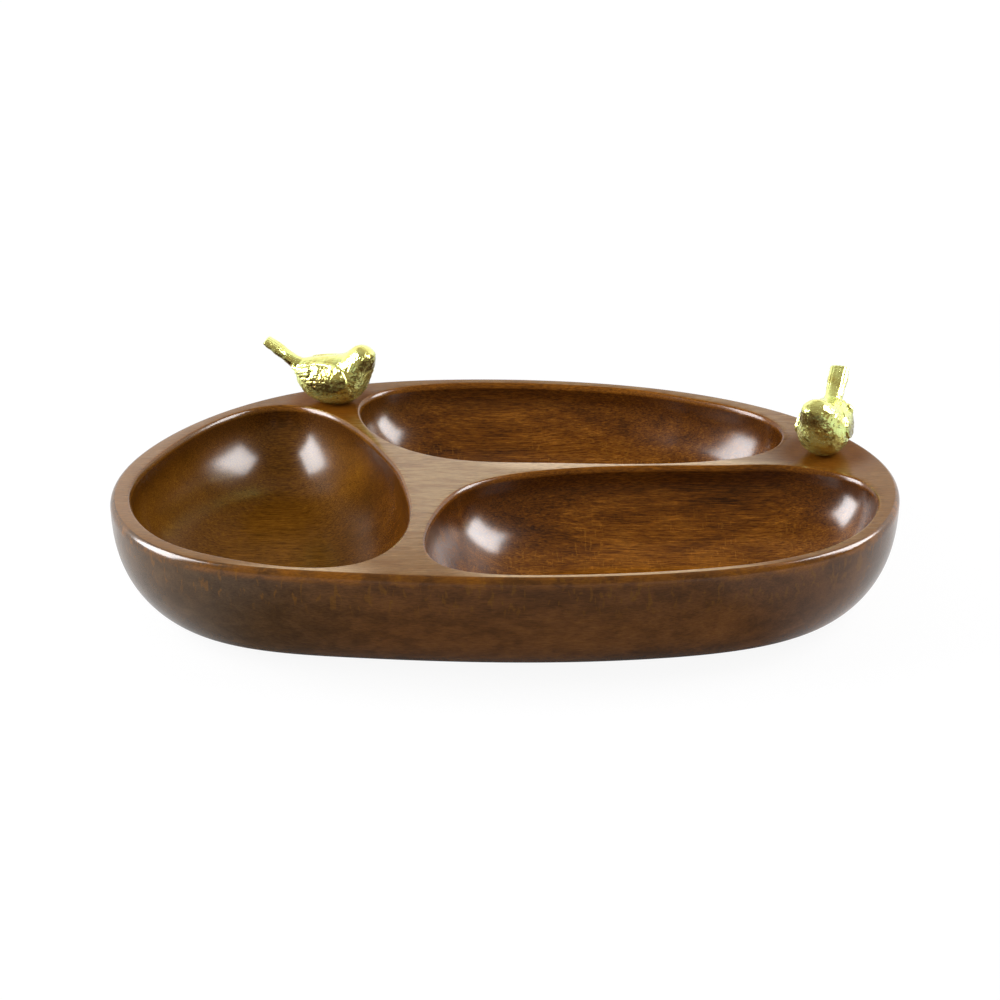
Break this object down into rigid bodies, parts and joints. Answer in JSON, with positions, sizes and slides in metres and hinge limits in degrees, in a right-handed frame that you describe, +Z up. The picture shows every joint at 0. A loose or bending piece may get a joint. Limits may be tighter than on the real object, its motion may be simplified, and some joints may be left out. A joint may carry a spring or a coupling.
{
  "type": "wooden snack dish",
  "caption": "Carved wooden snack dish with a rounded triangular outline, round, back and front pockets, and small gold birds standing on its rim.",
  "frame": {"origin": "on the table under the middle of the dish, at the middle of the bounding box's bottom", "axes": "+Z up, +X along the dish's length towards its right end as seen from the front, -Y towards the front, where the front pocket is"},
  "size_m": [0.3602, 0.2341, 0.084],
  "materials": {
    "wood": "walnut brown stain under satin lacquer",
    "gold": "polished gold plating on a cast surface",
    "steel": "zinc plated"
  },
  "bodies": {
    "root": {"tray": "wood", "left_bird": "gold", "right_bird": "gold", "left_bird_stud": "steel", "right_bird_stud": "steel"}
  },
  "joints": []
}
